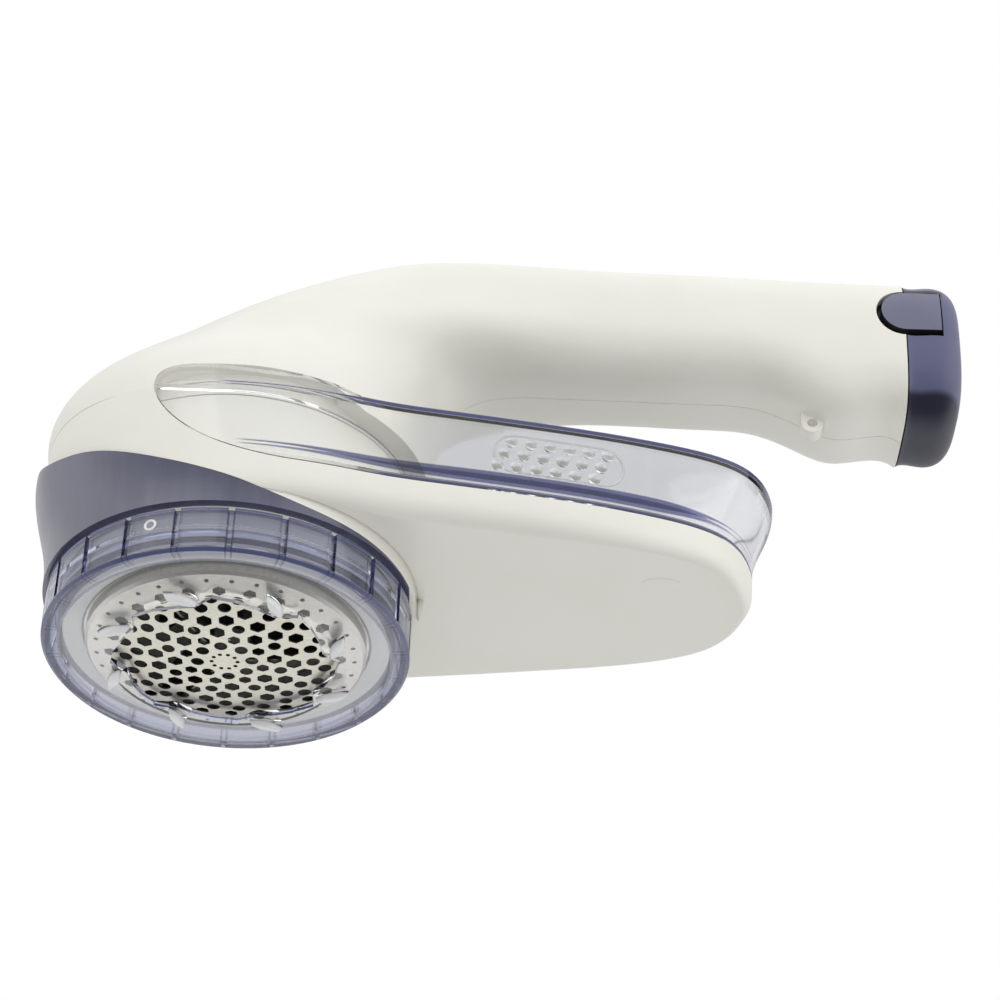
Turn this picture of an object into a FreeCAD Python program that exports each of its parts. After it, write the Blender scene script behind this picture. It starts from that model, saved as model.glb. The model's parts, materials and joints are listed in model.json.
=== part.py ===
"""Battery fabric shaver: arched handle over a clear lint container, round cutting head facing down.

Millimetres.  +Z is up, +X runs from the head to the handle's rear end, and the origin lies on the
head's axis in the plane of the guard's nub tips, which is the plane that rides on the cloth.
"""
import math
import os

import FreeCAD, Part

V = FreeCAD.Vector

# ---- driving dimensions -------------------------------------------------------------------------
GUARD_R = 35.0            # clear guard ring, outside
GUARD_WALL = 1.8
GUARD_RIM_Z = 3.0         # rim face above the nub tips
GUARD_TOP_Z = 12.3
GUARD_FLUTES = 22
NUB_COUNT = 8
NUB_R = 22.6              # radius of the nub circle
NUB_PHASE = 27.2

HOLDER_BORE_R = 27.1      # opening of the plastic ring that carries the foil
HOLDER_R = 31.4
HOLDER_FACE_Z = 6.8
FOIL_WALL_R = 26.6
FOIL_RIM_Z = 4.15         # edge of the perforated face
FOIL_RISE = 2.8           # the face bulges this far outwards at its centre
FOIL_T = 0.3

LIP_Z = 13.3              # lower lip of the coloured collar
LIP_R = 35.8
HEAD_FLARE = 0.088        # growth of the head's radius per millimetre of height
COLLAR_T = 1.8
COLLAR_PROFILE = [(35.8, 13.3), (36.0, 17.5), (36.8, 22.6), (38.1, 27.6), (39.2, 32.0),
                  (39.7, 35.5), (39.5, 38.0), (38.6, 41.0)]

TONGUE_Z = 16.8           # flat underside of the base
BASE_TOP_Z = 23.6         # where the lint container sits on the base
TIP_X = 100.4             # rear tip of the base
TIP_FLARE = 0.27
HALF_WIDTHS = [(0, 36.5), (10, 35.7), (20, 33.7), (30, 31.1), (40, 29.3), (50, 27.7), (60, 25.9),
               (70, 23.8), (80, 21.1), (88, 18.2), (93.5, 14.8), (97.5, 9.8), (99.5, 4.8)]
ROUNDING = [(16.8, 3.2), (17.2, 1.9), (18.2, 0.8), (19.6, 0.25), (21.5, 0.05), (24.0, 0.0),
            (32.0, 0.0), (40.0, 0.0), (47.0, 0.0)]

DRUM_R = 33.0             # round wall of the cutting chamber behind the container's arms
DRUM_BORE_R = 31.0
CHAMBER_R = 29.5
DECK_Z = 33.2

BOX_WALL = 1.8            # lint container
ROOF_T = 1.0              # thinner, seen as the fine line along its top edge
BOX_TOP_Z = 40.6
BOX_FLOOR_Z = 25.4
ARM_CLEAR = 33.4          # half the distance between the container's two arms

SKIN = 2.0                # handle shell wall
JOINT_GAP = 0.3           # visible line between the outer shells, the base and the cap
SEAM_GAP = 0.12           # between the two half shells
SEAM_X = 131.0            # where the battery cap meets the handle
# inner x, z  |  outer x, z  |  half-width  |  squareness of the cross-section
HANDLE = [(37.0, 38.0, -38.3, 38.0, 37.0, 2.0), (37.3, 47.0, -38.5, 46.0, 36.4, 2.0),
          (38.2, 53.5, -36.8, 52.0, 33.6, 2.0), (39.8, 59.0, -31.0, 57.8, 29.8, 2.1),
          (42.6, 63.0, -21.0, 65.2, 26.4, 2.2), (46.5, 65.5, -8.0, 74.8, 23.8, 2.3),
          (51.5, 66.8, 8.5, 84.3, 21.0, 2.5), (57.5, 67.2, 28.0, 91.8, 18.2, 2.8),
          (65.0, 67.1, 50.0, 94.4, 15.6, 3.0), (76.0, 67.1, 72.0, 94.0, 14.4, 3.2),
          (92.0, 67.0, 92.0, 93.6, 14.4, 3.3), (103.0, 66.0, 103.0, 93.4, 14.4, 3.3),
          (111.0, 62.2, 111.0, 93.3, 14.4, 3.4), (118.0, 59.4, 118.0, 93.2, 14.4, 3.5),
          (131.0, 59.0, 131.0, 93.0, 14.5, 3.5)]
CAP = [(131.0, 59.0, 93.0, 14.5), (136.5, 59.1, 92.9, 14.5), (140.0, 60.0, 92.2, 13.9),
       (141.8, 62.2, 90.4, 12.3), (142.4, 65.4, 87.4, 9.8)]

CELL_R = 7.1              # AA cells, end to end
CELL_LEN = 49.0
CELL_Z = 80.5
CELL_X = 24.6             # front end of the front cell

MOTOR_R = 12.0
MOTOR_Z = 35.8
MOTOR_LEN = 28.0
SHAFT_R = 1.0
BEARING_R = 1.04

SCREW_XZ = [(-24.0, 56.0), (29.0, 56.0), (60.0, 70.9), (119.5, 66.6)]
SWITCH_AT = V(8.0, 0, 84.05)
SWITCH_TILT = -27.0
LUG_AT = V(112.8, -3.1, 59.9)      # strap lug's hole
LUG_R = 2.2
LUG_T = 3.2
LUG_HOLE_R = 1.05
LATCH_Z = 82.0
LATCH_HALF = 5.1
LATCH_FRONT_X = 126.4
LATCH_REAR_X = 138.6


# ---- helpers ------------------------------------------------------------------------------------
def cyl(r, z0, z1, x=0.0, y=0.0):
    return Part.makeCylinder(r, z1 - z0, V(x, y, z0))


def cyl_y(r, y0, y1, x, z):
    return Part.makeCylinder(r, y1 - y0, V(x, y0, z), V(0, 1, 0))


def cyl_x(r, x0, x1, y, z):
    return Part.makeCylinder(r, x1 - x0, V(x0, y, z), V(1, 0, 0))


def tube(ro, ri, z0, z1):
    return cyl(ro, z0, z1).cut(cyl(ri, z0 - 1, z1 + 1))


def block(x0, x1, y0, y1, z0, z1):
    return Part.makeBox(x1 - x0, y1 - y0, z1 - z0, V(x0, y0, z0))


def revolve(profile):
    """Solid of revolution about Z from (r, z) corners."""
    pts = [V(r, 0, z) for r, z in profile]
    return Part.Face(Part.makePolygon(pts + pts[:1])).revolve(V(0, 0, 0), V(0, 0, 1), 360)


def curve_prism(points, corners):
    """Prism across Y whose outline is a smooth curve closed through the given corners."""
    pts = [V(x, -60, z) for x, z in points]
    ends = [V(x, -60, z) for x, z in corners]
    curve = Part.BSplineCurve()
    curve.interpolate(pts)
    edges = [curve.toShape()]
    chain = [pts[-1]] + ends + [pts[0]]
    edges += [Part.makeLine(a, b) for a, b in zip(chain, chain[1:])]
    return Part.Face(Part.Wire(edges)).extrude(V(0, 120, 0))


def spline_wire(points, steps):
    """Smooth closed outline; shared parameter steps keep neighbouring outlines compatible."""
    curve = Part.BSplineCurve()
    curve.interpolate(Points=points, PeriodicFlag=True, Parameters=steps)
    return Part.Wire(curve.toShape())


def turned(shape, angle):
    s = shape.copy()
    s.rotate(V(0, 0, 0), V(0, 0, 1), angle)
    return s


def around(shape, count, phase=0.0):
    return [turned(shape, phase + 360.0 * k / count) for k in range(count)]


def smoothstep(x, a, b):
    t = min(1.0, max(0.0, (x - a) / (b - a)))
    return t * t * (3 - 2 * t)


def save(name, shape):
    solids = shape.Solids if shape.ShapeType != "Solid" else [shape]
    out = solids[0] if len(solids) == 1 else Part.makeCompound(solids)
    out.exportStep("parts/%s.step" % name)
    print(name, len(solids), "valid" if out.isValid() else "INVALID", round(out.Volume, 1))


# ---- the flush outer surface shared by the base, its head and the lint container ----------------
def head_radius(z):
    return LIP_R + HEAD_FLARE * (min(z, 38.0) - LIP_Z)


def hull_outline(z, rounding, shrink):
    """Closed outline at height z: half a circle in front, boat-shaped towards the rear."""
    r = head_radius(z)
    side = [(-r * math.cos(math.radians(a)), r * math.sin(math.radians(a)))
            for a in (18, 36, 54, 72)]
    for x, w in HALF_WIDTHS:
        stretch = TIP_FLARE * (z - 24.0) * smoothstep(x, 50.0, TIP_X) if z > 24 else 0.0
        side.append((x + stretch, w + 0.02 * (z - 24.0)))
    tip = TIP_X + (TIP_FLARE * (z - 24.0) if z > 24 else 0.0)
    ring = [(-r, 0.0)] + side + [(tip, 0.0)] + [(x, -y) for x, y in reversed(side)]
    out = []
    n = len(ring)
    for i, (x, y) in enumerate(ring):
        ax, ay = ring[i - 1]
        bx, by = ring[(i + 1) % n]
        tx, ty = bx - ax, by - ay
        size = math.hypot(tx, ty)
        inset = shrink + rounding * (smoothstep(x, -12.0, 34.0) - 0.4 * smoothstep(x, 55.0, 85.0))
        out.append(V(x + ty / size * inset, y - tx / size * inset, z))
    return out


def hull(shrink=0.0, lift=0.0):
    base = hull_outline(24.0, 0.0, 0.0)
    steps = [0.0]
    for a, b in zip(base, base[1:] + base[:1]):
        steps.append(steps[-1] + a.distanceToPoint(b))
    wires = [spline_wire(hull_outline(z + lift, r, shrink), steps) for z, r in ROUNDING]
    return Part.makeLoft(wires, True, False)


def handle_outline(row, inset):
    ix, iz, ox, oz, w, n = row
    size = math.hypot(ox - ix, oz - iz)
    ux, uz = (ox - ix) / size, (oz - iz) / size
    cx, cz = (ix + ox) / 2, (iz + oz) / 2
    a, b = size / 2 - inset, w - inset
    pts = []
    for k in range(28):
        t = 2 * math.pi * k / 28
        c, s = math.cos(t), math.sin(t)
        p = a * math.copysign(abs(c) ** (2 / n), c)
        q = b * math.copysign(abs(s) ** (2 / n), s)
        pts.append(V(cx + ux * p, q, cz + uz * p))
    return pts + pts[:1]


def skinned(outlines):
    """Solid with one smooth surface through closed outlines, and flat ends."""
    surface = Part.BSplineSurface()
    surface.interpolate(outlines)
    side = surface.toShape()
    u0, u1 = surface.bounds()[:2]
    ends = [Part.Face(Part.Wire(surface.uIso(u).toShape())) for u in (u0, u1)]
    shell = Part.makeShell([side] + ends)
    shell.sewShape()
    solid = Part.Solid(shell)
    if solid.Volume < 0:
        solid.reverse()
    return solid


def handle_form(inset=0.0, overrun=0.0):
    """Solid bounded by the handle's outer surface, or by a surface inside it."""
    outlines = [handle_outline(row, inset) for row in HANDLE]
    if overrun:
        outlines.insert(0, [p + V(0, 0, -overrun) for p in outlines[0]])
        outlines.append([p + V(overrun, 0, 0) for p in outlines[-1]])
    return skinned(outlines)


def cap_form(inset=0.0, shorter=0.0):
    """Solid bounded by the battery cap's outer surface."""
    return skinned([handle_outline((x - shorter, z0, x - shorter, z1, w, 3.5 - 0.15 * k), inset)
                    for k, (x, z0, z1, w) in enumerate(CAP)])


def parting():
    """Everything above the joint line between the handle shells and the base housing."""
    return curve_prism([(-45, 43.5), (-38, 42.6), (-30, 41.3), (-22, 40.1), (-13, 39.2)],
                       [(200, 39.2), (200, 150), (-45, 150)])


def arm_region(grow):
    """Side-view outline of the lint container, grown all round."""
    g = grow
    low = [(14 - g, 23.8 - g), (6, 24.4 - g), (-1.2, 26.4 - g), (-9 - 0.6 * g, 31.1 - 0.8 * g),
           (-12.6 - 0.9 * g, 35.2 - 0.4 * g), (-14.4 - g, 39.9), (-13.9 - g, 42.3 + 0.3 * g),
           (-11.8 - 0.5 * g, 43.4 + 0.9 * g), (-9, 43.8 + g), (0, 43.7 + g), (13, 43.4 + g)]
    return curve_prism(low, [(19 + g, 42.5 + g), (24.5 + g, BOX_TOP_Z + g), (115, BOX_TOP_Z + g),
                             (115, 23.8 - g)])


# ---- guard, foil ---------------------------------------------------------------------------------
def guard_opening():
    """Pinwheel-shaped opening: eight inward tips, each stepping back out."""
    pts = []
    for k in range(NUB_COUNT):
        a0 = 31.5 + 45 * k
        for da, r in ((0, 19.3), (10, 21.9), (22, 21.0), (34, 20.0)):
            t = math.radians(a0 + da)
            pts.append(V(r * math.cos(t), r * math.sin(t), -5))
    return Part.Face(Part.makePolygon(pts + pts[:1])).extrude(V(0, 0, 20))


def nub():
    """Lens-shaped glide nub, set askew on the guard's inner edge."""
    ball = Part.makeSphere(6.0)
    lens = ball.common(Part.makeSphere(6.0, V(0, 9.6, 0)))
    lens.translate(V(0, -4.8, 0))
    lens = lens.common(block(-4, 4, -4, 4, -2.2, 0.3))
    lens.rotate(V(0, 0, 0), V(0, 0, 1), -50)
    lens.translate(V(NUB_R, 0, 2.2))
    return lens


def guard_ring():
    ro, ri = GUARD_R, GUARD_R - GUARD_WALL
    body = revolve([(ro, GUARD_RIM_Z + 0.6), (ro - 0.6, GUARD_RIM_Z), (31.8, GUARD_RIM_Z),
                    (22.5, 1.0), (18.0, 0.8), (18.0, 2.1), (22.5, 2.4), (31.2, 4.4), (ri, 4.6),
                    (ri, 8.3), (31.8, 8.4), (31.8, 9.3), (ri, 9.4), (ri, GUARD_TOP_Z),
                    (ro, GUARD_TOP_Z)])
    body = body.cut(guard_opening())
    groove = block(ro - 0.8, ro + 1, -0.6, 0.6, GUARD_RIM_Z + 0.9, GUARD_TOP_Z + 1)
    body = body.cut(around(groove, GUARD_FLUTES, 12.0))
    return body.fuse(around(nub(), NUB_COUNT, NUB_PHASE)).removeSplitter()


def foil_face_z(r):
    return FOIL_RIM_Z - FOIL_RISE * (1 - (r / 26.0) ** 2)


def hole(radius, x, y, sides):
    if sides == 0:
        return cyl(radius, -1, 6, x, y)
    pts = [V(x + radius * math.cos(math.radians(a)), y + radius * math.sin(math.radians(a)), -1)
           for a in range(30, 390, 360 // sides)]
    return Part.Face(Part.makePolygon(pts + pts[:1])).extrude(V(0, 0, 7))


def foil_holes():
    """Rings of round and hexagonal holes: (count, circle radius, phase, hole radius, sides)."""
    rings = [(10, 2.45, 0.0, 0.42, 0), (8, 5.2, -5.0, 1.25, 0), (8, 7.45, 16.5, 1.3, 6),
             (8, 9.5, -5.5, 1.6, 6), (8, 10.95, 16.5, 1.22, 0), (8, 13.1, -14.2, 1.62, 6),
             (8, 13.1, 4.2, 1.62, 6), (8, 15.6, 16.5, 1.6, 6), (8, 16.7, -12.6, 1.28, 0),
             (8, 16.7, 2.6, 1.28, 0), (24, 19.1, -5.0, 1.25, 0), (24, 21.6, 0.0, 1.35, 6),
             (33, 24.4, 3.0, 0.45, 0)]
    out = []
    for count, circle, phase, radius, sides in rings:
        for k in range(count):
            t = math.radians(phase + 360.0 * k / count)
            out.append(hole(radius, circle * math.cos(t), circle * math.sin(t), sides))
    return out


def shaving_foil():
    """Pressed steel cup with a domed, perforated face and a flange that rests in the holder."""
    r, t = FOIL_WALL_R, FOIL_T
    steps = [26.0 * k / 8 for k in range(9)]
    face = Part.BSplineCurve()
    face.interpolate([V(s, 0, foil_face_z(s)) for s in steps])
    back = Part.BSplineCurve()
    back.interpolate([V(s, 0, foil_face_z(s) + t) for s in reversed(steps)])
    rim = [V(26.0, 0, FOIL_RIM_Z), V(r, 0, FOIL_RIM_Z + 0.5), V(r, 0, 7.2), V(28.6, 0, 7.2),
           V(28.6, 0, 7.2 + t), V(r - t, 0, 7.2 + t), V(r - t, 0, FOIL_RIM_Z + 0.6),
           V(26.0, 0, FOIL_RIM_Z + t)]
    edges = [face.toShape()] + [Part.makeLine(a, b) for a, b in zip(rim, rim[1:])]
    edges += [back.toShape(), Part.makeLine(V(0, 0, foil_face_z(0) + t), V(0, 0, foil_face_z(0)))]
    cup = Part.Face(Part.Wire(edges)).revolve(V(0, 0, 0), V(0, 0, 1), 360)
    return cup.cut(foil_holes())


def foil_holder():
    return revolve([(HOLDER_BORE_R, HOLDER_FACE_Z), (32.4, HOLDER_FACE_Z), (32.4, 8.0),
                    (HOLDER_R, 8.1), (HOLDER_R, 16.4), (29.2, 16.4), (29.2, 7.5),
                    (28.8, 7.2), (HOLDER_BORE_R, 7.2)])


# ---- base, collar, container ---------------------------------------------------------------------
def collar_region():
    return curve_prism([(-46, 45.0), (-41, 39.6), (-38.5, 36.3), (-36, 33.7), (-32.9, 31.7),
                        (-28, 29.6), (-24, 28.0),
                        (-17.7, 25.4), (-11.8, 23.1), (-4, 20.5), (5.3, 17.6), (14.5, 15.3),
                        (23.0, 14.4), (30.0, 13.9), (36.0, 13.0)], [(36.0, 5.0), (-46, 5.0)])


def head_cone(inset, z0, z1):
    return Part.makeCone(head_radius(z0) - inset, head_radius(z1) - inset, z1 - z0, V(0, 0, z0))


def head_collar():
    """Coloured band: bulges in front, bounded above by the slanting joint with the base."""
    curve = Part.BSplineCurve()
    curve.interpolate([V(r, 0, z) for r, z in COLLAR_PROFILE])
    (r0, z0), (r1, z1) = COLLAR_PROFILE[0], COLLAR_PROFILE[-1]
    inner = [V(r1, 0, z1), V(head_radius(z1) - COLLAR_T, 0, z1),
             V(head_radius(z0) - COLLAR_T, 0, z0), V(r0, 0, z0)]
    edges = [curve.toShape()] + [Part.makeLine(a, b) for a, b in zip(inner, inner[1:])]
    ring = Part.Face(Part.Wire(edges)).revolve(V(0, 0, 0), V(0, 0, 1), 360)
    return max(ring.common(collar_region()).Solids, key=lambda s: s.Volume)


def base_housing(outer, inner):
    body = outer.fuse(Part.makeCylinder(LIP_R - 0.1, TONGUE_Z - LIP_Z, V(0, 0, LIP_Z)))
    body = body.cut(parting()).cut(tube(LIP_R + 0.3, LIP_R - 0.1, TONGUE_Z - 1, TONGUE_Z + 0.25))
    cavity = inner.cut(cyl(DRUM_R, 0, 60)).cut(arm_region(2.0).common(block(-30, 34, -60, 60, 0, 60)))
    cavity = cavity.cut(block(-60, 8, -60, 60, 0, 60))
    body = body.cut(cavity)
    shell = block(-60, 60, -60, 60, 0, 60).cut(head_cone(COLLAR_T + 0.05, 5.0, 45.0))
    body = body.cut(shell.common(collar_region()))
    body = body.cut(arm_region(0.2).cut(cyl(DRUM_R, 0, 60)))
    bore = cyl(31.8, 0, 17.0).fuse(cyl(CHAMBER_R, 16, DECK_Z)).fuse(cyl(DRUM_BORE_R, DECK_Z, 60))
    body = body.cut(bore)
    body = body.cut(block(15, 40, -15, 15, 26, 32.5))
    for k in range(3):
        a = math.radians(60 + 120 * k)
        x, y = 27.6 * math.cos(a), 27.6 * math.sin(a)
        body = body.fuse(cyl(2.8, 25, DECK_Z, x, y).common(cyl(CHAMBER_R + 1, 0, 60)))
        body = body.cut(cyl(1.0, 26.5, DECK_Z + 1, x, y))
    for x in (48, 64, 80):
        body = body.fuse(block(x, x + 1.6, -30, 30, 18, BASE_TOP_Z).common(inner))
    return max(body.Solids, key=lambda s: s.Volume)


def lint_container(outer):
    skin = hull(BOX_WALL)
    box = outer.common(arm_region(0.0))
    cavity = skin.common(block(-30, 120, -60, 60, BOX_FLOOR_Z, BOX_TOP_Z - ROOF_T))
    above = skin.common(block(-30, 34, -60, 60, BOX_TOP_Z, 60))
    box = box.cut([cavity, above, cyl(DRUM_R + 0.4, 0, 60),
                   block(-30, 0, -ARM_CLEAR, ARM_CLEAR, 0, 60)])
    box = max(box.Solids, key=lambda s: s.Volume)
    return box.fuse(grip_dots())


def grip_dots():
    """Raised dots on both side walls, three staggered rows of six."""
    out = []
    for side in (-1, 1):
        for row in range(3):
            for col in range(6):
                x, z = 52.7 + 3.67 * col - 1.2 * row, 35.2 - 2.8 * row
                out.append(Part.makeSphere(1.35, V(x, side * side_half_width(x, z) * 0.98, z)))
    return out


def side_half_width(x, z):
    """Half-width of the container's side at a point between the stations."""
    for (x0, w0), (x1, w1) in zip(HALF_WIDTHS, HALF_WIDTHS[1:]):
        s0 = x0 + TIP_FLARE * (z - 24.0) * smoothstep(x0, 50.0, TIP_X)
        s1 = x1 + TIP_FLARE * (z - 24.0) * smoothstep(x1, 50.0, TIP_X)
        if s0 <= x < s1:
            return w0 + (w1 - w0) * (x - s0) / (s1 - s0) + 0.02 * (z - 24.0)
    return 0.0


# ---- handle shells --------------------------------------------------------------------------------
def latch_outline(grow_front, grow_low, grow_top, rear=LATCH_REAR_X):
    """Side-view outline of the latch tab: round in front, straight towards the rear."""
    half = LATCH_HALF + (grow_low + grow_top) / 2
    mid = LATCH_Z + (grow_top - grow_low) / 2
    cx = LATCH_FRONT_X - grow_front + half
    return cyl_y(half, -60, 0, cx, mid).fuse(block(cx, rear, -60, 0, mid - half, mid + half))


def switch_frame(shape):
    s = shape.copy()
    s.rotate(V(0, 0, 0), V(0, 1, 0), SWITCH_TILT)
    s.translate(SWITCH_AT)
    return s


def screw_boss(side, x, z, room):
    """Boss that joins the half shells: side -1 takes the thread, side 1 the countersunk head."""
    if side < 0:
        return cyl_y(2.4, -34, -0.05, x, z).common(room), cyl_y(1.1, -8.6, 1, x, z)
    post = cyl_y(2.4, 0.05, 6, x, z).fuse(cyl_y(3.6, 4.0, 38, x, z)).common(room)
    return post, cyl_y(1.35, -1, 6, x, z).fuse(cyl_y(2.7, 5.0, 60, x, z))


def strap_lug():
    """Loop for a wrist strap, under the left half shell."""
    x0, x1, half = LUG_AT.x - LUG_R, LUG_AT.x + LUG_R, LUG_T / 2
    lug = block(x0, x1, LUG_AT.y - half, LUG_AT.y + half, LUG_AT.z, 66.5)
    lug = lug.fuse(cyl_y(LUG_R, LUG_AT.y - half, LUG_AT.y + half, LUG_AT.x, LUG_AT.z))
    return lug.cut(cyl_y(LUG_HOLE_R, -9, 5, LUG_AT.x, LUG_AT.z))


def handle_shells(form, room):
    shell = form.cut(room)
    liner = form.common(arm_region(2.0)).cut(cyl(DRUM_BORE_R, 0, 70))
    shell = shell.fuse(liner.common(block(-60, 34, -60, 60, 0, 60)))
    recess = arm_region(0.3).fuse(block(0, 19.3, -60, 60, 30, 44.1)).cut(cyl(DRUM_R, 0, 60))
    shell = shell.cut(recess)
    shell = shell.common(parting())
    lip = parting()
    lip.translate(V(0, 0, JOINT_GAP))
    shell = shell.common(lip)
    shell = shell.cut(latch_outline(1.1, 1.4, 0.4, 150))
    pocket = block(-14, 14, -5.6, 5.6, -1.2, 6).fuse(block(-6, 6, -2.2, 2.2, -8, 6))
    shell = shell.cut(switch_frame(pocket))
    rib_x = [34, 50, 68, 82, 98, 114]
    halves = []
    for side in (-1, 1):
        span = (-60.0, -SEAM_GAP / 2) if side < 0 else (SEAM_GAP / 2, 60.0)
        half = shell.common(block(-60, 160, span[0], span[1], 0, 120))
        space = room.common(block(-60, 160, span[0], span[1], 39.9, 120))
        for x in rib_x:
            rib = block(x, x + 1.6, span[0], span[1], 60, 91.5).common(space)
            half = half.fuse(rib)
        half = half.cut(cyl_x(CELL_R + 0.35, 20, SEAM_X + 1, 0, CELL_Z))
        half = half.cut(block(25, SEAM_X + 1, -2.4, 2.4, 87.8, 89.2))
        for x, z in SCREW_XZ:
            post, drill = screw_boss(side, x, z, room)
            half = half.fuse(post).cut(drill)
        if side < 0:
            half = half.fuse(strap_lug().cut(room))
        halves.append(max(half.Solids, key=lambda s: s.Volume))
    return halves


# ---- battery cap ----------------------------------------------------------------------------------
def battery_cap():
    """End cap with a plug that enters the handle, a post for the spring and a recess for the latch."""
    plug = handle_form(SKIN + 0.3, 3.0).common(block(124.5, 134.0, -60, 60, 0, 120))
    body = cap_form().common(block(SEAM_X + JOINT_GAP, 160, -60, 60, 0, 120)).fuse(plug)
    body = body.cut(handle_form(SKIN + 1.8, 8.0).common(block(120, 135.0, -60, 60, 0, 120)))
    body = body.cut(cap_form(2.6, 2.2).common(block(134.2, 160, -60, 60, 0, 120)))
    body = body.fuse(cyl_x(4.5, 134.0, 143.2, 0, CELL_Z).common(cap_form(1.0, 0.5)))
    body = body.cut(latch_outline(1.1, 1.4, 0.4).common(block(120, 145, -30, -11.9, 60, 100)))
    return max(body.Solids, key=lambda s: s.Volume)


def cap_latch():
    """Flexible tab, flush with the shell, that reaches forward over the finger recess."""
    outline = latch_outline(0, 0, 0, LATCH_REAR_X - 0.3)
    tab = handle_form(0, 12.0).common(outline).common(block(120, 145, -30, -12.3, 60, 100))
    return max(tab.Solids, key=lambda s: s.Volume)


def coil(r, wire, length, turns, at, axis):
    helix = Part.makeHelix(length / turns, length, r)
    profile = Part.Wire(Part.makeCircle(wire, V(r, 0, 0), V(0, 1, 0)))
    spring = Part.Wire(helix.Edges).makePipeShell([profile], True, True)
    spring.Placement = FreeCAD.Placement(at, FreeCAD.Rotation(V(0, 0, 1), axis))
    return spring


# ---- power train ------------------------------------------------------------------------------------
def motor_mount():
    plate = cyl(30.7, DECK_Z + 0.02, MOTOR_Z - 0.02).cut(cyl(3.2, 0, 60))
    lighter = block(13.5, 24, -5, 5, 0, 60)
    plate = plate.cut(around(lighter, 3, 0))
    for k in range(3):
        a = math.radians(60 + 120 * k)
        plate = plate.cut(cyl(1.4, 0, 60, 27.6 * math.cos(a), 27.6 * math.sin(a)))
    return plate.cut([cyl(1.1, 0, 60, 7.5, 0), cyl(1.1, 0, 60, -7.5, 0)])


def motor_can():
    z0, z1 = MOTOR_Z, MOTOR_Z + MOTOR_LEN
    can = cyl(MOTOR_R, z0, z1).fuse(cyl(3.0, z0 - 2.0, z0 + 1))
    can = can.cut(cyl(MOTOR_R - 1.0, z0 + 1.2, z1 + 1)).cut(cyl(BEARING_R, 0, 80))
    return can.cut([cyl(0.9, 0, z0 + 2, 7.5, 0), cyl(0.9, 0, z0 + 2, -7.5, 0)])


def motor_magnets():
    z0 = MOTOR_Z + 4
    ring = tube(MOTOR_R - 1.0, 9.1, z0, z0 + 18)
    return ring.cut(block(-4, 4, -20, 20, 0, 80))


def motor_end_bell():
    z = MOTOR_Z + MOTOR_LEN
    bell = cyl(MOTOR_R - 0.2, z, z + 3.2).fuse(cyl(3.4, z, z + 5.0))
    return bell.cut(cyl(BEARING_R, 0, 90)).cut([block(5.6, 6.2, -1.2, 1.2, 0, 90),
                                               block(-6.2, -5.6, -1.2, 1.2, 0, 90)])


def motor_terminals():
    z = MOTOR_Z + MOTOR_LEN
    tab = block(5.65, 6.15, -1.1, 1.1, z - 3, z + 7.0)
    return [tab, tab.mirror(V(0, 0, 0), V(1, 0, 0))]


def motor_armature():
    z = MOTOR_Z + 5
    core = cyl(8.5, z, z + 15).cut(cyl(SHAFT_R, 0, 90))
    slot = block(4.0, 9.0, -0.8, 0.8, 0, 90)
    core = core.cut(around(slot, 3, 30))
    return core.fuse(tube(3.0, SHAFT_R, z + 15, z + 20))


def fan_impeller():
    hub = tube(4.0, SHAFT_R, 20.5, 28.0)
    disc = tube(24.0, SHAFT_R, 26.6, 28.0)
    vane = block(3.5, 23.4, -0.7, 0.7, 19.5, 26.8)
    vane.rotate(V(3.5, 0, 0), V(0, 0, 1), 12)
    return hub.fuse([disc] + around(vane, 6)).cut(cyl(SHAFT_R, 0, 60))


def blade_carrier():
    hub = tube(5.0, SHAFT_R, 6.0, 15.0)
    arm = block(3.0, 23.6, -2.2, 2.2, 7.4, 11.0)
    carrier = hub.fuse(around(arm, 3)).cut(cyl(SHAFT_R, 0, 60))
    return carrier.cut(around(block(4.4, 30, -0.25, 0.25, 0, 10.0), 3))


def cutter_blades():
    """Three thin blades whose lower edges follow the foil's dome."""
    low = [V(r, -0.25, foil_face_z(r) + FOIL_T + 0.15) for r in (4.4, 9, 13, 17, 20, 23.4)]
    edge = Part.BSplineCurve()
    edge.interpolate(low)
    top = [low[-1], V(23.4, -0.25, 10.0), V(4.4, -0.25, 10.0), low[0]]
    wire = Part.Wire([edge.toShape()] + [Part.makeLine(a, b) for a, b in zip(top, top[1:])])
    return around(Part.Face(wire).extrude(V(0, 0.5, 0)), 3)


# ---- electrics, fasteners -----------------------------------------------------------------------------
def battery_cell(x):
    can = cyl_x(CELL_R, x + 1.2, x + CELL_LEN, 0, CELL_Z)
    return can.fuse(cyl_x(2.7, x, x + 1.3, 0, CELL_Z))


def lead(points, r=0.6):
    path = Part.BSplineCurve()
    path.interpolate(points)
    edge = path.toShape()
    start = path.value(path.FirstParameter)
    way = path.tangent(path.FirstParameter)[0]
    profile = Part.Wire(Part.makeCircle(r, start, way))
    return Part.Wire(edge).makePipeShell([profile], True, False)


def shell_screws():
    return [cyl_y(2.3, 5.0, 6.8, x, z).fuse(cyl_y(1.1, -8.0, 5.1, x, z))
            .cut(block(x - 1.6, x + 1.6, 5.9, 8, z - 0.3, z + 0.3)) for x, z in SCREW_XZ]


def deck_screws():
    out = []
    for k in range(3):
        a = math.radians(60 + 120 * k)
        x, y = 27.6 * math.cos(a), 27.6 * math.sin(a)
        head = cyl(2.2, MOTOR_Z - 0.02, MOTOR_Z + 1.5, x, y)
        out.append(head.fuse(cyl(1.0, 27.5, MOTOR_Z, x, y)))
    return out


def motor_screws():
    return [cyl(1.8, DECK_Z - 1.2, DECK_Z + 0.02, x, 0).fuse(cyl(0.9, DECK_Z, MOTOR_Z + 1.2, x, 0))
            for x in (-7.5, 7.5)]


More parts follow.
